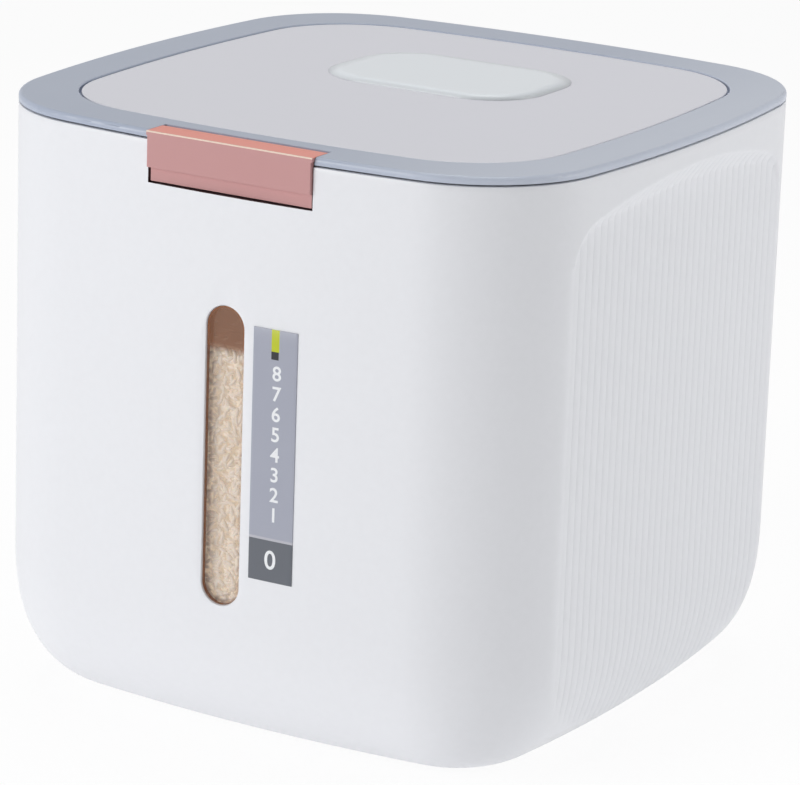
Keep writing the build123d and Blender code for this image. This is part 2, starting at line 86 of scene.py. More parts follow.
# %% Wires and finishes
class Wire:
    """A number that varies over a surface. Plain arithmetic on it adds Math nodes."""

    def __init__(self, finish, socket):
        self.finish, self.socket = finish, socket

    def math(self, operation, *others):
        inputs = dict(enumerate((self,) + others))
        return self.finish.node("ShaderNodeMath", {"operation": operation}, inputs)["Value"]

    def turned(self, operation, other):
        return self.finish.node("ShaderNodeMath", {"operation": operation}, {0: other, 1: self})["Value"]

    def __add__(self, other):
        return self.math("ADD", other)

    def __radd__(self, other):
        return self.math("ADD", other)

    def __sub__(self, other):
        return self.math("SUBTRACT", other)

    def __rsub__(self, other):
        return self.turned("SUBTRACT", other)

    def __mul__(self, other):
        return self.math("MULTIPLY", other)

    def __rmul__(self, other):
        return self.math("MULTIPLY", other)

    def __truediv__(self, other):
        return self.math("DIVIDE", other)

    def __gt__(self, other):
        return self.math("GREATER_THAN", other)

    def __lt__(self, other):
        return self.math("LESS_THAN", other)

    def clamped(self):
        return self.math("MAXIMUM", 0.0).math("MINIMUM", 1.0)


class Made:
    """A node that was added: its outputs are taken by name."""

    def __init__(self, finish, node):
        self.finish, self.made = finish, node

    def __getitem__(self, name):
        return Wire(self.finish, self.made.outputs[name])


class Nodes:
    """A tree of nodes, written as expressions."""

    def __init__(self, tree):
        self.tree = tree
        tree.nodes.clear()

    def node(self, kind, settings=None, inputs=None):
        """A node of any kind: settings first, then what goes into its sockets."""
        node = self.tree.nodes.new(kind)
        for name, value in (settings or {}).items():
            setattr(node, name, value)
        for name, value in (inputs or {}).items():
            if isinstance(value, Wire):
                self.tree.links.new(value.socket, node.inputs[name])
            else:
                node.inputs[name].default_value = value
        return Made(self, node)


class Finish(Nodes):
    """One material, whose patterns follow the piece's own coordinates."""

    def __init__(self, name):
        self.material = bpy.data.materials.new(name)
        self.material.use_nodes = True
        super().__init__(self.material.node_tree)
        self.place = self.node("ShaderNodeTexCoord")["Object"]

    def noise(self, size, detail=2.0, stretch=(1.0, 1.0, 1.0)):
        """Soft noise with blots of about this size in metres, stretched along the axes."""
        scale = [1.0 / (size * part) for part in stretch]
        spot = self.node("ShaderNodeMapping", {}, {"Vector": self.place, "Scale": scale})["Vector"]
        return self.node("ShaderNodeTexNoise", {}, {"Vector": spot, "Scale": 1.0, "Detail": detail})["Fac"]

    def axis(self, name):
        """How far along X, Y or Z a point is, in metres."""
        return self.node("ShaderNodeSeparateXYZ", {}, {"Vector": self.place})[name]

    def blend(self, amount, first, second):
        """From the first colour to the second as the amount goes from 0 to 1."""
        settings = {"data_type": "RGBA"}
        return self.node("ShaderNodeMix", settings, {"Factor": amount, 6: first, 7: second})[2]

    def bump(self, height, strength, depth, under=None):
        """A relief this deep, laid over another one if there is one under it."""
        inputs = {"Height": height, "Strength": strength, "Distance": depth}
        if under:
            inputs["Normal"] = under
        return self.node("ShaderNodeBump", {}, inputs)["Normal"]

    def surface(self, shader, output="BSDF"):
        self.node("ShaderNodeOutputMaterial", {}, {"Surface": shader[output]})
        return self.material


def srgb(red, green, blue):
    """A colour from its 0 to 255 screen values."""
    def linear(value):
        value /= 255
        return value / 12.92 if value <= 0.04045 else ((value + 0.055) / 1.055) ** 2.4
    return (linear(red), linear(green), linear(blue), 1.0)


def toned(colour, factor):
    """The same colour, lighter or darker."""
    return tuple(part * factor for part in colour[:3]) + (1.0,)


print("a mid grey of 128 is", round(srgb(128, 128, 128)[0], 3), "in linear light")

# %% [markdown]
# ## Moulded plastic
# Nearly everything here is injection moulded. Such plastic isn't quite even: the steel mould leaves
# a fine spark-eroded grain, the pigment clouds a little, and handling polishes it in patches. One
# function makes all the plastics, because they differ only in colour, gloss and any larger relief.

# %% Plastic finishes
def moulded(finish, colour, roughness, relief=None):
    """Moulded plastic of a colour: grained, faintly clouded and unevenly polished."""
    cloud, polish = finish.noise(0.045, 3.0), finish.noise(0.018, 4.0, (1.0, 1.0, 1.6))
    tint = (cloud * 0.8 + finish.noise(0.0009) * 0.2).clamped()
    shader = finish.node("ShaderNodeBsdfPrincipled", {}, {
        "Base Color": finish.blend(tint * CLOUDING, colour, srgb(255, 255, 255)),
        "Roughness": (polish - 0.5) * 0.06 + roughness,
        "Normal": finish.bump(finish.noise(0.0012, 3.0), 0.25, 0.00001, relief),
    })
    return finish.surface(shader)


def plastic(name, colour, roughness):
    """Plastic of one colour, with flecks a little darker."""
    finish = Finish(name)
    return moulded(finish, finish.blend(finish.noise(0.003), toned(colour, 0.97), colour), roughness)


def rim_finish(name, left, right):
    """The rim is painted a little lighter towards its right side: painted light, as from a lamp on the right.
    """
    finish = Finish(name)
    across = ((finish.axis("X") - RIM_PAINTED_LIGHT_FADE[0] * MM) / ((RIM_PAINTED_LIGHT_FADE[1] - RIM_PAINTED_LIGHT_FADE[0]) * MM)).clamped()
    return moulded(finish, finish.blend(across, left, right), 0.3)


def panel_finish(name, flat, pad):
    """The pad on the panel is a colder white, painted lighter as painted light on its raised top, and its low
    flank catches light like a fuller one.
    """
    finish = Finish(name)
    raised = ((finish.axis("Z") - PANEL_TOP * MM) / ((PAD_TOP - PANEL_TOP) * MM)).clamped()
    # The pad's lighter colour is painted light on its raised top.
    colour = finish.blend((raised * 4.0).clamped(), flat, pad)
    return moulded(finish, colour, 0.3, finish.bump(raised, 1.0, PAD_RELIEF * MM))


def clasp_finish(name, face, top, painted_highlight):
    """Rose paint; the top of the leg is painted warmer and lighter as painted light, and its front edge is
    painted pale as a painted highlight.
    """
    finish = Finish(name)
    y, z = finish.axis("Y"), finish.axis("Z")
    # The leg's warmer, lighter top is painted light.
    colour = finish.blend(z > (CLASP_TOP - 0.3) * MM, face, top)
    # The pale band along the leg's front edge is a painted highlight where the rounded edge catches the lamp.
    edge = (z > (CLASP_TOP - CLASP_ROUND) * MM) * (y < (CLASP_ROUND - CLASP_FRONT) * MM)
    return moulded(finish, finish.blend(edge, colour, painted_highlight), 0.36)


CLOUDING = 0.03
# Where the rim's painted light runs from darker to lighter, in millimetres along X.
RIM_PAINTED_LIGHT_FADE = (30.0, 120.0)
PANEL_TOP, PAD_TOP, PAD_RELIEF = 243.9, 245.1, 5.0
CLASP_TOP, CLASP_FRONT, CLASP_ROUND = 244.2, 130.6, 0.5
shell_plastic = plastic("satin white shell", srgb(237, 238, 242), 0.38)
inner_plastic = plastic("plain white inner plastic", srgb(232, 232, 232), 0.45)
# Dark maroon is painted shade: it darkens the clasp pocket's cut faces and the latch housing, where shadow
# falls.
pocket_painted_shade = plastic("dark maroon painted shade in the clasp pocket", srgb(70, 42, 44), 0.5)
# The rim's two colours are painted light: darker on the left, lighter on the right.
rim_plastic = rim_finish("grey rim plastic with painted light", srgb(173, 182, 200), srgb(199, 206, 220))
# The pad's colour is a colder white, painted lighter: painted light.
panel_plastic = panel_finish("pale lid panel plastic with a painted light pad", srgb(232, 232, 240), srgb(245, 250, 254))
# The second colour is the leg's top as painted light; the third is the painted highlight on its front edge.
rose_plastic = clasp_finish(
    "rose clasp plastic with painted light", srgb(196, 144, 143), srgb(244, 147, 128), srgb(240, 218, 200))
print("plastics made:", len(bpy.data.materials))

# %% [markdown]
# ## Rubber, steel, silicone and the tinted pane
# The small parts need finishes of their own. Rubber is dark and dull, with a coarser skin. The pins
# are ground steel, so their scratches run round them and show in the roughness. Silicone lets light
# into it. The pane is clear against the rice. Where nothing is behind it and along its edge it is
# painted brown, as painted shade: a see-through shader and a glossy brown one are mixed by place and by the
# angle of view.

# %% Other finishes
def rubber(name, colour):
    finish = Finish(name)
    skin = finish.noise(0.0011, 4.0)
    dust = finish.noise(0.006, 3.0)
    shader = finish.node("ShaderNodeBsdfPrincipled", {}, {
        "Base Color": finish.blend(dust, colour, toned(colour, 1.5)),
        "Roughness": dust * 0.12 + 0.66,
        "Normal": finish.bump(skin, 0.6, 0.00008),
    })
    return finish.surface(shader)


def ground_steel(name, along):
    """Bright steel with fine rings, ground at right angles to the given axis."""
    finish = Finish(name)
    rings = finish.noise(0.0009, 4.0, along)
    stain = finish.noise(0.004, 3.0)
    shader = finish.node("ShaderNodeBsdfPrincipled", {}, {
        "Base Color": finish.blend(stain, srgb(196, 197, 200), srgb(172, 172, 174)),
        "Metallic": 1.0,
        "Roughness": rings * 0.2 + stain * 0.08 + 0.16,
        "Normal": finish.bump(rings, 0.3, 0.00001),
    })
    return finish.surface(shader)


def silicone(name):
    finish = Finish(name)
    cloud = finish.noise(0.01, 3.0)
    shader = finish.node("ShaderNodeBsdfPrincipled", {}, {
        "Base Color": finish.blend(cloud, srgb(214, 216, 216), srgb(226, 228, 228)),
        "Roughness": cloud * 0.1 + 0.42,
        "Subsurface Weight": 0.3,
        "Subsurface Radius": (0.002, 0.002, 0.002),
        "Normal": finish.bump(finish.noise(0.0012, 3.0), 0.4, 0.00003),
    })
    return finish.surface(shader)


def tinted_pane(name, pane_brown_and_painted_shade, rice_height):
    """Nearly clear against the rice; painted brown as painted shade where nothing is behind it and all along
    its edge.
    """
    finish = Finish(name)
    smear = finish.noise(0.012, 4.0, (1.0, 1.0, 2.5))
    x, z = finish.axis("X"), finish.axis("Z")
    # Above the rice the pane is painted brown: painted shade of the dark inside.
    painted_shade_above_rice = ((z - rice_height * MM) / (3.0 * MM) + smear * 0.1).clamped()
    past_straight = ((z - PANE_MIDDLE * MM).math("ABSOLUTE") - PANE_STRAIGHT * MM).math("MAXIMUM", 0.0)
    from_middle = (x * x + past_straight * past_straight).math("SQRT")
    # Along its edge the pane is painted brown too: painted shade of the recess round it.
    edge = ((from_middle - PANE_PAINTED_SHADE_EDGE[0] * MM) / ((PANE_PAINTED_SHADE_EDGE[1] - PANE_PAINTED_SHADE_EDGE[0]) * MM)).clamped()
    plastic_part = finish.node("ShaderNodeBsdfPrincipled", {}, {
        "Base Color": finish.blend(smear, pane_brown_and_painted_shade, toned(pane_brown_and_painted_shade, 0.8)),
        "Roughness": smear * 0.1 + 0.08,
        "Normal": finish.bump(finish.noise(0.02, 2.0), 0.15, 0.0001),
    })
    clear = finish.node("ShaderNodeBsdfTransparent", {}, {"Color": (0.99, 0.985, 0.98, 1.0)})
    mirror = finish.node("ShaderNodeFresnel", {}, {"IOR": 1.45})["Fac"]
    # The brown share is a Fresnel reflection plus painted shade above the rice and along the edge.
    share = (mirror * 0.6 + painted_shade_above_rice * 0.52 + edge * 0.3 + 0.01).clamped()
    mixed = finish.node("ShaderNodeMixShader", {}, {0: share, 1: clear["BSDF"], 2: plastic_part["BSDF"]})
    return finish.surface(mixed, "Shader")


RICE_TOP = 163.0
PANE_MIDDLE, PANE_STRAIGHT = 122.3, 50.9
PANE_PAINTED_SHADE_EDGE = (7.0, 8.4)
foot_rubber = rubber("dark foot rubber", srgb(74, 76, 80))
pin_steel = ground_steel("ground pin steel", (0.3, 6.0, 6.0))
screw_steel = ground_steel("zinc plated screw steel", (3.0, 3.0, 0.5))
seal_silicone = silicone("milky silicone")
# The brown is the pane's faint body colour and, above the rice and at the edge, painted shade.
pane_plastic = tinted_pane("tea coloured pane with painted shade", srgb(152, 96, 62), RICE_TOP)
print("finishes so far:", len(bpy.data.materials))

# %% [markdown]
# ## Finishing the pieces that keep their CAD shape
# Hinge pins, screws, the liner and other inner parts are already the right shape, so they only get
# a finish. Their meshes are left alone.

# %% Finishes on the frame's own pieces
def finish_node(material, *names):
    for name in names:
        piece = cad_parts[name]
        for material_slot in piece.material_slots:
            material_slot.material = material


finish_node(inner_plastic, "mouth_ring", "hinge_housing", "lid_liner", "desiccant_box", "desiccant_cover")
# The latch housing is painted dark as painted shade in the clasp pocket.
finish_node(pocket_painted_shade, "latch_housing")
finish_node(rim_plastic, "lid_frame")
finish_node(pin_steel, "hinge_pin_left", "hinge_pin_right", "latch_pin")
finish_node(screw_steel, "liner_screws")
finish_node(seal_silicone, "lid_seal")
finish_node(pane_plastic, "window_pane")
finish_node(foot_rubber, "foot_front_left", "foot_front_right", "foot_rear_left", "foot_rear_right")

# %% [markdown]
# ## Tools of the bench
# A few things are done again and again: selecting by place, running an edit-mode tool, applying a
# modifier, cutting one piece with another. Each gets a small function here.

# %% Bench helpers
def deselect():
    bpy.ops.object.select_all(action="DESELECT")


def work_on(piece):
    """Make a piece the only selected and active one."""
    deselect()
    piece.select_set(True)
    bpy.context.view_layer.objects.active = piece


def named(name):
    """Name what was just added."""
    piece = bpy.context.object
    piece.name = piece.data.name = name
    return piece


def apply_place(piece):
    work_on(piece)
    bpy.ops.object.transform_apply(location=True, rotation=True, scale=True)


def add_box(name, x, y, z):
    """A box between two limits along each axis, in millimetres."""
    deselect()
    middle = [(limits[0] + limits[1]) / 2 * MM for limits in (x, y, z)]
    bpy.ops.mesh.primitive_cube_add(size=1, location=middle)
    piece = named(name)
    piece.scale = [(limits[1] - limits[0]) * MM for limits in (x, y, z)]
    apply_place(piece)
    return piece


def add_rod(name, radius, x, y, z, sides=48):
    """A round bar along X between two limits, in millimetres."""
    deselect()
    middle = ((x[0] + x[1]) / 2 * MM, y * MM, z * MM)
    length = (x[1] - x[0]) * MM
    bpy.ops.mesh.primitive_cylinder_add(
        vertices=sides, radius=radius * MM, depth=length, location=middle, rotation=(0, pi / 2, 0))
    piece = named(name)
    apply_place(piece)
    return piece


def modify(piece, kind, **settings):
    """Add a modifier, set it and apply it."""
    work_on(piece)
    modifier = piece.modifiers.new(kind.lower(), kind)
    for name, value in settings.items():
        setattr(modifier, name, value)
    bpy.ops.object.modifier_apply(modifier=modifier.name)


def cut(piece, cutter, operation="DIFFERENCE"):
    """Cut a piece with another, or fuse the two, and throw the other away. What the cutter leaves
    takes the cutter's finish, if it has one."""
    modify(piece, "BOOLEAN", operation=operation, solver="EXACT", material_mode="TRANSFER", object=cutter)
    bpy.data.objects.remove(cutter)


def edit(piece, choose=None, faces=False):
    """Enter edit mode with the chosen corners or faces selected."""
    work_on(piece)
    bpy.ops.object.mode_set(mode="EDIT")
    bpy.ops.mesh.select_mode(type="FACE" if faces else "VERT")
    bpy.ops.mesh.select_all(action="SELECT" if choose is None else "DESELECT")
    if choose is not None:
        mesh = bmesh.from_edit_mesh(piece.data)
        for part in (mesh.faces if faces else mesh.verts):
            if choose(part):
                part.select_set(True)
        mesh.select_flush(True)
        bmesh.update_edit_mesh(piece.data)


def leave():
    bpy.ops.object.mode_set(mode="OBJECT")


def smooth(piece, angle=30):
    work_on(piece)
    bpy.ops.object.shade_smooth_by_angle(angle=radians(angle))


def paint(piece, material):
    piece.data.materials.clear()
    piece.data.materials.append(material)


def triangles(piece):
    return sum(len(face.vertices) - 2 for face in piece.data.polygons)


print("bench helpers ready")

# %% [markdown]
# ## The outline of the bin
# Seen from above, the bin is a square whose sides bow out a little and whose corners are arcs. Every
# ring of the shell is that outline, drawn in by some amount. A station is one place on the outline:
# its point and the direction that points out there. Drawing the outline in only moves each station
# along its own direction, so one list of stations serves every ring of a piece.

# %% Stations on the outline
HALF_WIDTH, SIDE_RADIUS, CORNER_RADIUS = 130.0, 692.0, 53.8
PANEL_HALF, PANEL_SIDE_RADIUS, PANEL_CORNER_RADIUS = 108.4, 745.0, 44.5
FLUTE_PITCH, FLUTE_COUNT = 5.18, 33
FLUTE_HALF = FLUTE_PITCH * FLUTE_COUNT / 2


class Outline:
    """A bowed square: two kinds of arc that meet without a corner."""

    def __init__(self, half, side_radius, corner_radius):
        self.side_radius, self.corner_radius = side_radius, corner_radius
        self.past = side_radius - half
        reach = side_radius - corner_radius
        self.corner = (sqrt(2 * reach ** 2 - self.past ** 2) - self.past) / 2
        self.turn = atan2(self.corner, self.corner + self.past)

    def station(self, angle):
        """The place on the outline that faces this angle, and its way out."""
        quarter = round(angle / (pi / 2))
        angle -= quarter * pi / 2
        out_x, out_y = cos(angle), sin(angle)
        x, y = self.side_radius * out_x - self.past, self.side_radius * out_y
        if abs(angle) > self.turn:
            x = self.corner + self.corner_radius * out_x
            y = copysign(self.corner, angle) + self.corner_radius * out_y
        for _ in range(quarter % 4):
            x, y, out_x, out_y = -y, x, -out_y, out_x
        return (x, y, out_x, out_y)

    def angle_at(self, y):
        """Which way the right side faces at a given height of the page."""
        if abs(y) <= self.side_radius * sin(self.turn):
            return atan2(y, sqrt(self.side_radius ** 2 - y ** 2))
        rest = abs(y) - self.corner
        angle = atan2(rest, sqrt(self.corner_radius ** 2 - rest ** 2))
        return angle if y > 0 else -angle

    def depth(self, x):
        """How far out the front is at a given x."""
        return self.station(self.angle_at(x))[0]

    def even(self, side_steps, corner_steps):
        """Stations all round, the same on every side."""
        quarter = steps(-self.turn, self.turn, side_steps)
        quarter += steps(self.turn, pi / 2 - self.turn, corner_steps)
        return [self.station(angle + pi / 2 * turn) for turn in range(4) for angle in quarter]

    def fluted(self, flute_steps, front_steps, corner_steps):
        """Stations that fall on every flute of the two sides, and wider apart elsewhere."""
        places = steps(-FLUTE_HALF, FLUTE_HALF, FLUTE_COUNT * flute_steps)
        edge, front = self.angle_at(FLUTE_HALF), pi / 2 - self.turn
        half = [self.angle_at(y) for y in places] + steps(edge, front, corner_steps)
        half += steps(front, pi - front, front_steps) + steps(pi - front, pi - edge, corner_steps)
        return [self.station(angle + pi * turn) for turn in range(2) for angle in half]


def steps(start, end, count):
    """Even steps from start, leaving the end out."""
    return [start + (end - start) * step / count for step in range(count)]


bin_outline = Outline(HALF_WIDTH, SIDE_RADIUS, CORNER_RADIUS)
panel_outline = Outline(PANEL_HALF, PANEL_SIDE_RADIUS, PANEL_CORNER_RADIUS)
shell_stations = bin_outline.fluted(8, 36, 24)
print("stations round the shell:", len(shell_stations))

# %% [markdown]
# ## Wrapping a sheet
# Shapes like these could be lofted from curves, but a lofted surface is hard to give flutes. A plain
# grid is easier: its columns run round the piece and its rows follow the section, as paper wraps a
# parcel. The seam is merged and the open ends are closed with a face each.

# %% A wrapped grid
def wrap(name, columns, rows, place):
    """A closed skin: place(column, row) says where each corner of the grid goes, in millimetres."""
    deselect()
    bpy.ops.mesh.primitive_grid_add(x_subdivisions=columns, y_subdivisions=rows - 1, size=1)
    piece = named(name)
    spots = [place(column % columns, row) for row in range(rows) for column in range(columns + 1)]
    piece.data.vertices.foreach_set("co", [number * MM for spot in spots for number in spot])
    edit(piece)
    bpy.ops.mesh.remove_doubles(threshold=0.002 * MM)
    bpy.ops.mesh.select_all(action="DESELECT")
    bpy.ops.mesh.select_mode(type="EDGE")
    bpy.ops.mesh.select_non_manifold(extend=False)
    bpy.ops.mesh.edge_face_add()
    bpy.ops.mesh.select_all(action="SELECT")
    bpy.ops.mesh.normals_make_consistent(inside=False)
    leave()
    return piece


def on(station, inset, z):
    """A station's point, drawn in by inset, at a height."""
    x, y, out_x, out_y = station
    return (x - inset * out_x, y - inset * out_y, z)


print("wrap: rows follow the section, columns run round")

# %% [markdown]
# ## The shell's section
# From the inside out: across the floor, up the inner wall, over the rim and down the outside. The
# bottom edge is not a plain fillet. It follows a superellipse, which starts more gently than a circle
# and so catches the light without a hard line.

# %% Section of the shell
WALL_TOP = 240.5
WALL, FLOOR, BASE = 2.5, 3.0, 1.5
ROUND_RUN, ROUND_RISE, ROUND_POWER = 48.4, 60.8, 2.53
LIP_ROUND = 0.5
ARCH_ZONE = (196.0, 236.0)


def rounding(wall, base, run, rise, count):
    """Rows of the rounded bottom edge, from the floor up: how far drawn in, and how high."""
    rows = []
    for turn in steps(0, pi / 2, count) + [pi / 2]:
        drawn_in = run * (1 - sin(turn) ** (2 / ROUND_POWER))
        climbed = rise * (1 - max(0.0, cos(turn)) ** (2 / ROUND_POWER))
        rows.append((wall + drawn_in, base + climbed))
    return rows


def heights(*runs):
    """Heights above the rounding: each run is an upper end and a count of rows up to it."""
    found, low = [], BASE + ROUND_RISE
    for high, count in runs:
        found += steps(low, high, count)[1:] + [high]
        low = high
    return found


inner_heights = heights((ARCH_ZONE[0], 4), (ARCH_ZONE[1], 16), (WALL_TOP - LIP_ROUND, 1))
outer_heights = heights((ARCH_ZONE[0], 8), (ARCH_ZONE[1], 44), (WALL_TOP - LIP_ROUND, 2))
inner_rows = rounding(WALL, BASE + FLOOR, ROUND_RUN - WALL, ROUND_RISE - FLOOR, 14)
inner_rows += [(WALL, z) for z in inner_heights]
lip_rows = [(WALL - LIP_ROUND * 0.3, WALL_TOP - LIP_ROUND * 0.3), (WALL - LIP_ROUND, WALL_TOP)]
lip_rows += [(LIP_ROUND, WALL_TOP), (LIP_ROUND * 0.3, WALL_TOP - LIP_ROUND * 0.3)]
outer_rows = rounding(0, BASE, ROUND_RUN, ROUND_RISE, 30) + [(0, z) for z in outer_heights]
section = inner_rows + lip_rows + outer_rows[::-1]
OUTSIDE_FROM = len(inner_rows) + len(lip_rows)
print("rows in the section:", len(section))

# %% [markdown]
# ## The flat fluted faces
# Each side carries a flat face that is let into the bow, so it lies deep in the middle and meets the
# wall at its front and rear edges. It ends in an arch, with a cove that leads from the face out to
# the wall, and thirty-three shallow flutes run down it. A bump map could fake the flutes but not the
# cove, so all of it is relief: every corner of the grid that lies outside the face is moved in to it.

# %% The shell
FACE, FACE_WALL, FACE_FOLLOW = 123.6, 3.2, 0.62
ARCH_TOP, ARCH_RADIUS, ARCH_CORNER = 224.3, 577.0, 14.0
COVE_TURN = radians(52.4)
COVE_EASE, EDGE_EASE = 1.6, 0.45
FLUTE_DEPTH, FLUTE_FULL = 0.55, 0.8


def eased(depth, ease):
    """Nothing below -ease, the depth itself above ease and a smooth run between."""
    return (depth + ease) ** 2 / (4 * ease) if abs(depth) < ease else max(0.0, depth)


def beyond_face(y, z):
    """How far a place lies outside the face's outline; below zero inside it."""
    side = abs(y) - FLUTE_HALF + ARCH_CORNER
    above = hypot(y, z - ARCH_TOP + ARCH_RADIUS) - ARCH_RADIUS + ARCH_CORNER
    return hypot(max(side, 0.0), max(above, 0.0)) + min(max(side, above), 0.0) - ARCH_CORNER


def face_out(y, z, drawn_in, wall):
    """How far out the face and its cove are, moved inwards by a wall's thickness."""
    past = beyond_face(y, z) - wall * (1 - sin(COVE_TURN)) / cos(COVE_TURN)
    return FACE - wall - FACE_FOLLOW * drawn_in + eased(past, COVE_EASE) / tan(COVE_TURN)


def flute(y):
    """How deep a flute is: nothing on its crest, the most between two flutes."""
    across = (y + FLUTE_HALF) / FLUTE_PITCH % 1.0
    return FLUTE_DEPTH * (1 - sqrt(1 - 0.96 * (2 * across - 1) ** 2))


def shell_place(column, row):
    inset, height = section[row]
    station = shell_stations[column]
    x, y, z = on(station, inset, height)
    if row >= OUTSIDE_FROM:
        recess = eased(abs(x) - face_out(y, z, inset, 0.0), EDGE_EASE)
        recess += flute(station[1]) * min(1.0, recess / FLUTE_FULL)
    else:
        recess = eased(abs(x) - face_out(y, z, inset - WALL, FACE_WALL), EDGE_EASE)
    return (x - copysign(recess, x), y, z)


shell = wrap("bin_shell", len(shell_stations), len(section), shell_place)
print("shell triangles before cutting:", triangles(shell))

# %% [markdown]
# ## Cutting the window, the two pockets and the foot recesses
# The openings are cut with solid tools, as a mill would cut them. The window's tool flares where it
# leaves the front, and that leaves a small rounded edge round the slot for the light to catch.

# %% Openings in the shell
WINDOW_HALF, WINDOW_HEIGHT, WINDOW_MIDDLE = 8.5, 118.9, 122.3
LATCH_POCKET, LATCH_POCKET_FLOOR = 36.7, 223.9
HINGE_POCKET, HINGE_POCKET_FLOOR = 76.0, 228.0
POCKET_BACK, HINGE_POCKET_BACK = 121.0, 120.5
FOOT_RADIUS, FOOT_SPREAD, FOOT_SUNK, FOOT_GAP = 8.0, 60.0, 1.0, 0.25


def slot_place(sides, sections):
    """A slot with round ends, upright on the front: each section is a growth and a depth."""
    straight = WINDOW_HEIGHT / 2 - WINDOW_HALF

    def place(column, row):
        grow, y = sections[row]
        angle = 2 * pi * (column + 0.5) / sides
        end = WINDOW_MIDDLE + (straight if sin(angle) > 0 else -straight)
        radius = WINDOW_HALF + grow
        return (radius * cos(angle), y, end + radius * sin(angle))
    return place


paint(shell, shell_plastic)
SLOT_SIDES = 64
flare = [(0.0, -118.0), (0.0, -129.35), (0.1, -129.7), (0.32, -129.93), (0.8, -130.15), (3.0, -132.0)]
cut(shell, wrap("window_tool", SLOT_SIDES, len(flare), slot_place(SLOT_SIDES, flare)))
pocket = (-LATCH_POCKET, LATCH_POCKET)
latch_tool = add_box("latch_tool", pocket, (-140, -POCKET_BACK), (LATCH_POCKET_FLOOR, 250))
# The pocket's cut faces in the shell take this dark plastic as painted shade.
paint(latch_tool, pocket_painted_shade)
cut(shell, latch_tool)
pocket = (-HINGE_POCKET, HINGE_POCKET)
cut(shell, add_box("hinge_tool", pocket, (HINGE_POCKET_BACK, 140), (HINGE_POCKET_FLOOR, 250)))
for foot_x in (-FOOT_SPREAD, FOOT_SPREAD):
    for foot_y in (-FOOT_SPREAD, FOOT_SPREAD):
        deselect()
        bpy.ops.mesh.primitive_cylinder_add(
            vertices=64, radius=(FOOT_RADIUS + FOOT_GAP) * MM, depth=(BASE + FOOT_SUNK) * 2 * MM,
            location=(foot_x * MM, foot_y * MM, 0))
        cut(shell, named("foot_tool"))
smooth(shell, 28)
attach(shell, "bin")
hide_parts("bin_body")
print("shell triangles:", triangles(shell))

# %% [markdown]
# ## The lid panel and its pad
# The panel is one moulding with a low pad on it, over the box that holds the moisture absorber. The
# pad's flank rounds over like a cushion: it leaves the top softly, falls faster and faster, and meets
# the panel in a clear line. The same wrapped grid makes it, this time with rows that spread from the
# pad out to the panel's edge.

# %% Lid panel
PANEL_BOTTOM = 241.4
PAD_SIZE, PAD_CORNER, PAD_MIDDLE = (80.6, 53.0), 17.8, (1.0, 30.5)
PAD_FLANK = 7.7
SIDE_STEPS, CORNER_STEPS = 24, 16


def pad_quarters():
    """Stations round the pad, in step with the panel's own."""
    stations = []
    half_x, half_y = (size / 2 - PAD_CORNER for size in PAD_SIZE)
    for quarter in range(4):
        out = [(1, 0), (0, 1), (-1, 0), (0, -1)][quarter]
        reach = (half_x if quarter % 2 == 0 else half_y) + PAD_CORNER
        run = half_y if quarter % 2 == 0 else half_x
        for step in range(SIDE_STEPS):
            along = run * (2 * step / SIDE_STEPS - 1)
            stations.append((out[0] * reach - out[1] * along, out[1] * reach + out[0] * along) + out)
        middle = (half_x * (1 if quarter in (0, 3) else -1), half_y * (1 if quarter in (0, 1) else -1))
        for step in range(CORNER_STEPS):
            angle = pi / 2 * (quarter + step / CORNER_STEPS)
            way = (cos(angle), sin(angle))
            stations.append((middle[0] + PAD_CORNER * way[0], middle[1] + PAD_CORNER * way[1]) + way)
    return [(x + PAD_MIDDLE[0], y + PAD_MIDDLE[1], out_x, out_y) for x, y, out_x, out_y in stations]


pad_stations = pad_quarters()
panel_stations = panel_outline.even(SIDE_STEPS, CORNER_STEPS)
PANEL_INNER, PANEL_FLAT_END, UNDER_ROUND = 14.0, 2.0, 30.0
panel_rows = [("pad", PANEL_INNER, PAD_TOP), ("pad", 1.5, PAD_TOP)]
FLANK_STEPS, FLANK_POWER = 20, 2.4
for share in steps(0.0, 1.0, FLANK_STEPS):
    panel_rows.append(("pad", -PAD_FLANK * share, PAD_TOP - (PAD_TOP - PANEL_TOP) * share ** FLANK_POWER))
panel_rows += [("pad", -PAD_FLANK, PANEL_TOP), ("pad", -PAD_FLANK - 0.4, PANEL_TOP)]
panel_rows += [("panel", PANEL_INNER, PANEL_TOP), ("panel", PANEL_FLAT_END, PANEL_TOP)]
EDGE_ROUND = 0.45
for turn in steps(0, pi / 2, 5) + [pi / 2]:
    panel_rows.append(("panel", EDGE_ROUND * (1 - sin(turn)), PANEL_TOP - EDGE_ROUND * (1 - cos(turn))))
panel_rows += [("panel", inset, PANEL_BOTTOM) for inset in (0.0, 0.4, UNDER_ROUND)]


def panel_place(column, row):
    where, inset, z = panel_rows[row]
    stations = pad_stations if where == "pad" else panel_stations
    return on(stations[column], inset, z)


panel = wrap("lid_top_panel", len(panel_stations), len(panel_rows), panel_place)
smooth(panel, 40)
paint(panel, panel_plastic)
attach(panel, "lid")
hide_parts("lid_panel")
print("panel triangles:", triangles(panel))

# %% [markdown]
# ## The clasp
# The clasp is a bent strip: a leg that lies on the rim, a plate that hangs down the front and a lip
# below it for the finger. Boxes are fused and every edge is rounded with a bevel, which is how soft
# edges on a square moulding are made. A barrel at the back of the leg takes the pin.

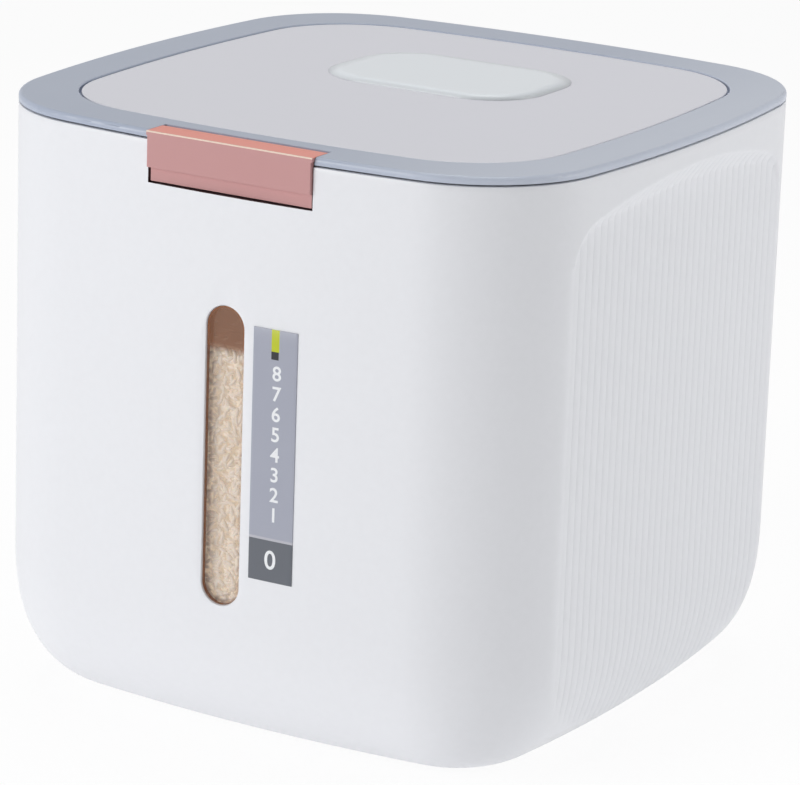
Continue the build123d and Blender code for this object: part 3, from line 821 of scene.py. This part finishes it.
# %% Clasp
LEG_HALF, PLATE_HALF, LIP_HALF, NOSE_HALF = 36.8, 36.3, 35.9, 28.0
BARREL_Y, BARREL_Z, BARREL_RADIUS, PIN_RADIUS = -119.6, 241.9, 2.2, 1.06
SHELF_TOP, PLATE_BOTTOM, LIP_BOTTOM = 231.8, 230.2, 224.6
LEG_BOTTOM, PLATE_BACK = 242.4, 128.4
LIP_FRONT, LIP_BACK = 128.4, 126.6
NOSE_BACK, NOSE_LOW, NOSE_HIGH = 124.9, 226.3, 228.3
CLASP_BEVEL = 0.35

clasp = add_box("front_clasp", (-LEG_HALF, LEG_HALF), (-CLASP_FRONT, BARREL_Y), (LEG_BOTTOM, CLASP_TOP))
parts = [
    ("plate", PLATE_HALF, (-CLASP_FRONT, -PLATE_BACK), (PLATE_BOTTOM, LEG_BOTTOM + 0.6)),
    ("shelf", LIP_HALF, (0.2 - CLASP_FRONT, -LIP_BACK), (PLATE_BOTTOM, SHELF_TOP)),
    ("lip", LIP_HALF, (-LIP_FRONT, -LIP_BACK), (LIP_BOTTOM, SHELF_TOP - 0.3)),
]
for name, half, y, z in parts:
    cut(clasp, add_box(name, (-half, half), y, z), "UNION")
modify(clasp, "BEVEL", width=CLASP_BEVEL * MM, segments=3, limit_method="ANGLE", angle_limit=radians(40))
nose = add_box("nose", (-NOSE_HALF, NOSE_HALF), (-LIP_BACK - 0.5, -NOSE_BACK), (NOSE_LOW, NOSE_HIGH))
cut(clasp, nose, "UNION")
cut(clasp, add_rod("barrel", BARREL_RADIUS, (-LEG_HALF, LEG_HALF), BARREL_Y, BARREL_Z), "UNION")
cut(clasp, add_rod("bore", PIN_RADIUS, (-50, 50), BARREL_Y, BARREL_Z, 32))
smooth(clasp, 35)
paint(clasp, rose_plastic)
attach(clasp, "latch")
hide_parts("latch")
print("clasp triangles:", triangles(clasp))

# %% [markdown]
# ## The label
# The label is a printed plate: grey, with a lime tab, a small dark square and a dark foot. A scale of
# plain numbers fills the column between them. The flat areas of print are painted by where they lie,
# and the numbers are thin letters of their own, so their edges stay sharp at any size.

# %% Label finish
LABEL_LEFT, LABEL_WIDE = 13.1, 19.1
LABEL_LOW, LABEL_HIGH = 76.8, 176.2
LABEL_PROUD = 0.35
FOOT_PRINT_TOP = 93.3
TAB_LEFT, TAB_LOW = 21.0, 167.7


def printed_label(name):
    finish = Finish(name)
    x, z = finish.axis("X"), finish.axis("Z")

    def area(left, right, low, high):
        inside = (x > left * MM) * (x < right * MM)
        return inside * (z > low * MM) * (z < high * MM)

    cloud = finish.noise(0.02, 3.0)
    paper = finish.blend(cloud, srgb(162, 165, 180), srgb(168, 171, 184))
    right = LABEL_LEFT + LABEL_WIDE
    lime = area(TAB_LEFT, TAB_LEFT + 3.4, TAB_LOW, LABEL_HIGH + 1.0)
    square = area(TAB_LEFT, TAB_LEFT + 3.2, TAB_LOW - 3.1, TAB_LOW)
    foot = area(LABEL_LEFT - 1.0, right + 1.0, LABEL_LOW - 1.0, FOOT_PRINT_TOP)
    line = area(LABEL_LEFT - 1.0, right + 1.0, FOOT_PRINT_TOP, FOOT_PRINT_TOP + 1.0)
    colour = finish.blend(lime, paper, srgb(190, 199, 22))
    colour = finish.blend(square, colour, srgb(36, 38, 42))
    colour = finish.blend(foot, colour, srgb(100, 104, 112))
    colour = finish.blend(line, colour, srgb(186, 186, 194))
    shader = finish.node("ShaderNodeBsdfPrincipled", {}, {
        "Base Color": colour,
        "Roughness": finish.noise(0.004, 3.0) * 0.1 + 0.3,
        "Normal": finish.bump(finish.noise(0.0007, 3.0), 0.3, 0.00001),
    })
    return finish.surface(shader)


def print_white(name):
    finish = Finish(name)
    wear = finish.noise(0.0015, 4.0)
    shader = finish.node("ShaderNodeBsdfPrincipled", {}, {
        "Base Color": finish.blend(wear, srgb(232, 234, 238), srgb(246, 247, 249)),
        "Roughness": wear * 0.1 + 0.35,
    })
    return finish.surface(shader)


label_print = printed_label("printed label")
number_print = print_white("white printing")
print("label is", LABEL_WIDE, "by", round(LABEL_HIGH - LABEL_LOW, 1), "mm")

# %% Label plate and its numbers
def front_y(x, proud):
    """Where the front is at a given x, in millimetres, a little proud of the wall."""
    return -(bin_outline.depth(x) + proud)


def press_on(piece, proud):
    """Bend a flat piece that stands in the X and Z plane onto the bowed front."""
    for corner in piece.data.vertices:
        thick = -corner.co.y / MM
        corner.co.y = front_y(corner.co.x / MM, proud + thick) * MM


LABEL_BACK = 0.02
label = add_box(
    "label_face", (LABEL_LEFT, LABEL_LEFT + LABEL_WIDE), (-LABEL_PROUD, -LABEL_BACK), (LABEL_LOW, LABEL_HIGH))
edit(label)
bpy.ops.mesh.subdivide(number_cuts=15)
leave()
press_on(label, 0.0)
modify(label, "BEVEL", width=0.1 * MM, segments=2, limit_method="ANGLE", angle_limit=radians(50))
smooth(label, 35)
paint(label, label_print)

SCALE_TOP, SCALE_STEP, SCALE_COUNT = 159.0, 7.95, 8
NUMBER_X, NUMBER_SIZE, NUMBER_WEIGHT = 23.6, 8.0, 0.12
ZERO_SIZE, ZERO_PLACE = 10.5, (22.6, 85.2)


def printed_number(value, size, x, z):
    """A bold number, thin as print, upright on the X and Z plane."""
    deselect()
    bpy.ops.object.text_add()
    figure = named(f"figure_{value}")
    figure.data.body = str(value)
    figure.data.size = size * MM
    figure.data.offset = NUMBER_WEIGHT * MM
    figure.data.align_x = figure.data.align_y = "CENTER"
    figure.data.extrude = 0.02 * MM
    bpy.ops.object.convert(target="MESH")
    figure = bpy.context.object
    figure.rotation_euler = (pi / 2, 0, 0)
    figure.location = (x * MM, 0, z * MM)
    apply_place(figure)
    return figure


figures = [printed_number(SCALE_COUNT - place, NUMBER_SIZE, NUMBER_X, SCALE_TOP - SCALE_STEP * place)
           for place in range(SCALE_COUNT)]
figures.append(printed_number(0, ZERO_SIZE, *ZERO_PLACE))
deselect()
for figure in figures:
    figure.select_set(True)
bpy.context.view_layer.objects.active = figures[0]
bpy.ops.object.join()
numbers = named("label_numbers")
press_on(numbers, LABEL_PROUD + 0.02)
paint(numbers, number_print)
for piece in (label, numbers):
    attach(piece, "bin")
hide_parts("label_plate")
print("label pieces:", triangles(label), triangles(numbers), "triangles")

# %% [markdown]
# ## The rice
# The window shows rice almost up to its top. A heap closes the view into the bin, and loose grains
# lie against the pane and on the heap. Thousands of grains can't each be added by hand, so one grain
# is modelled and its mesh is repeated, each time turned and moved by a seeded draw. A real white
# shell lets some daylight through to the rice; a faint glow of the grains stands in for that light.

# %% Rice finish
def rice_skin(name):
    finish = Finish(name)
    chalk = finish.noise(0.0025, 3.0)
    warm = finish.noise(0.012, 2.0)
    pale = finish.blend(chalk, srgb(228, 219, 206), srgb(248, 244, 238))
    shader = finish.node("ShaderNodeBsdfPrincipled", {}, {
        "Base Color": finish.blend(warm * 0.5, pale, srgb(230, 213, 190)),
        "Roughness": chalk * 0.15 + 0.38,
        "Subsurface Weight": 0.25,
        "Subsurface Radius": (0.002, 0.0015, 0.001),
        "Emission Color": pale,
        "Emission Strength": SHELL_GLOW,
        "Normal": finish.bump(finish.noise(0.0008, 3.0), 0.3, 0.00003),
    })
    return finish.surface(shader)


SHELL_GLOW = 0.2
rice_finish = rice_skin("polished rice")

# %% Rice pieces
GRAIN_LONG, GRAIN_WIDE = 2.1, 0.85
heap_stations = bin_outline.even(20, 10)
HEAP_GAP, HEAP_LIFT = 1.2, 0.4
heap_wall = WALL + HEAP_GAP
heap_rows = rounding(
    heap_wall, BASE + FLOOR + HEAP_LIFT, ROUND_RUN - heap_wall, ROUND_RISE - FLOOR - HEAP_LIFT, 8)
heap_rows += [(heap_wall, z) for z in heights((RICE_TOP - 2.0, 8))]
heap_rows += [(WALL + 2.0, RICE_TOP - 0.6), (WALL + 5.0, RICE_TOP), (40.0, RICE_TOP + 0.6)]
PANE_BACK, PANE_REACH, LAYER = 4.2, 20.0, 6.5
HEAP_SIDE = 118.6


def heap_place(column, row):
    inset, z = heap_rows[row]
    station = heap_stations[column]
    if station[1] < 0 and abs(station[0]) < PANE_REACH:
        inset = max(inset, PANE_BACK + LAYER)
    x, y, z = on(station, inset, z)
    return (max(-HEAP_SIDE, min(HEAP_SIDE, x)), y, z)


heap = wrap("rice_heap", len(heap_stations), len(heap_rows), heap_place)
smooth(heap, 60)
paint(heap, rice_finish)

deselect()
bpy.ops.mesh.primitive_uv_sphere_add(segments=8, ring_count=6, radius=1)
grain = named("grain")
grain.scale = (GRAIN_WIDE * MM, GRAIN_WIDE * 0.9 * MM, GRAIN_LONG * MM)
apply_place(grain)
grain_corners = [corner.co.copy() for corner in grain.data.vertices]
grain_faces = [tuple(face.vertices) for face in grain.data.polygons]
bpy.data.objects.remove(grain)


def scatter(name, spots):
    """One mesh of many grains: each spot is a place and a turn."""
    corners, faces = [], []
    for place, turn in spots:
        first = len(corners)
        turning = turn.to_matrix()
        corners += [turning @ corner + place for corner in grain_corners]
        faces += [tuple(first + index for index in face) for face in grain_faces]
    mesh = bpy.data.meshes.new(name)
    mesh.from_pydata(corners, [], faces)
    piece = bpy.data.objects.new(name, mesh)
    bpy.context.scene.collection.objects.link(piece)
    smooth(piece, 80)
    paint(piece, rice_finish)
    return piece


draw = random.Random(7)
window_spots = []
WINDOW_GRAINS, WINDOW_SPREAD, WINDOW_LOW = 1500, 13.0, 56.0
for _ in range(WINDOW_GRAINS):
    deep = draw.uniform(0.0, 4.0)
    x = draw.uniform(-WINDOW_SPREAD, WINDOW_SPREAD)
    z = draw.uniform(WINDOW_LOW, RICE_TOP - 1.0 + draw.uniform(0.0, 1.5))
    y = front_y(x, -(PANE_BACK + 0.95 + deep))
    turn = Euler((draw.uniform(-0.25, 0.25), draw.uniform(0, pi), draw.uniform(-0.25, 0.25)))
    window_spots.append((Vector((x, y, z)) * MM, turn))
window_rice = scatter("rice_at_window", window_spots)

top_spots = []
TOP_GRAINS = 2300
SPREAD_X, SPREAD_Y, SPREAD_FRONT = 116, 122, -119.0
CORNER_START, CORNER_REACH = 72, 46
while len(top_spots) < TOP_GRAINS:
    x, y = draw.uniform(-SPREAD_X, SPREAD_X), draw.uniform(-SPREAD_Y, SPREAD_Y)
    past_corner = hypot(max(0, abs(x) - CORNER_START), max(0, abs(y) - CORNER_START)) > CORNER_REACH
    if past_corner or y < SPREAD_FRONT:
        continue
    turn = Euler((pi / 2 + draw.uniform(-0.3, 0.3), draw.uniform(-0.3, 0.3), draw.uniform(0, 2 * pi)))
    top_spots.append((Vector((x, y, RICE_TOP + draw.uniform(-0.4, 1.0))) * MM, turn))
top_rice = scatter("rice_on_top", top_spots)
for piece in (heap, window_rice, top_rice):
    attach(piece, "bin")
print("grains:", WINDOW_GRAINS + TOP_GRAINS, "with", triangles(window_rice) + triangles(top_rice), "triangles")

# %% [markdown]
# ## Floor, room and light
# The photograph is a studio cut-out on white. The floor and the room are white to the camera, and in
# reflections, but they don't pour that white onto the bin: what lights it is one large soft lamp in
# front to the left, a second on the right and the soft room itself. The floor keeps a faint shadow.

# %% Stage
ROOM_LIGHT = 0.22
FLOOR_SHOWN, FLOOR_GLOW = 0.88, 0.22
MIRRORED = 0.6


def shown(nodes):
    """1 for the rays that should find plain white, the camera's and ones through glass, and a share
    of that for mirrored ones."""
    rays = nodes.node("ShaderNodeLightPath")
    straight = rays["Is Camera Ray"] + rays["Is Transmission Ray"]
    return (straight + rays["Is Glossy Ray"] * MIRRORED).clamped()


def white_floor(name):
    finish = Finish(name)
    fleck = finish.noise(0.4, 2.0)
    paper = finish.node("ShaderNodeBsdfPrincipled", {}, {
        "Base Color": finish.blend(fleck, srgb(243, 243, 243), srgb(246, 246, 246)),
        "Roughness": 1.0,
        "Emission Color": (1, 1, 1, 1),
        "Emission Strength": FLOOR_GLOW,
    })
    shine = finish.node("ShaderNodeEmission", {}, {"Color": (1, 1, 1, 1), "Strength": 1.0})
    amount = shown(finish) * FLOOR_SHOWN
    mixed = finish.node("ShaderNodeMixShader", {}, {0: amount, 1: paper["BSDF"], 2: shine["Emission"]})
    return finish.surface(mixed, "Shader")


deselect()
bpy.ops.mesh.primitive_plane_add(size=8)
ground = named("floor")
paint(ground, white_floor("white floor"))

world = bpy.data.worlds.new("room")
world.use_nodes = True
bpy.context.scene.world = world
room = Nodes(world.node_tree)
glow = room.node("ShaderNodeBackground", {}, {"Color": (0.97, 0.98, 1.0, 1.0), "Strength": ROOM_LIGHT})
white = room.node("ShaderNodeBackground", {}, {"Color": (1, 1, 1, 1), "Strength": 1.0})
sky = room.node("ShaderNodeMixShader", {}, {0: shown(room), 1: glow["Background"], 2: white["Background"]})
room.node("ShaderNodeOutputWorld", {}, {"Surface": sky["Shader"]})


def soft_lamp(name, place, size, power, colour=(1, 1, 1)):
    deselect()
    place = Vector(place)
    bpy.ops.object.light_add(type="AREA", location=place)
    lamp = bpy.context.object
    lamp.name = name
    lamp.data.shape = "RECTANGLE"
    lamp.data.size, lamp.data.size_y = size
    lamp.data.energy = power
    lamp.data.color = colour
    lamp.rotation_euler = (place - AIM).to_track_quat("Z", "Y").to_euler()
    return lamp


soft_lamp("front lamp", (-1.32, -2.49, 0.95), (1.5, 1.2), 40)
soft_lamp("right lamp", (1.45, 0.6, 0.62), (0.9, 0.9), 7.6)
soft_lamp("top lamp", (-0.2, 0.3, 2.4), (1.4, 1.4), 18)
bpy.context.scene.view_settings.view_transform = "Standard"
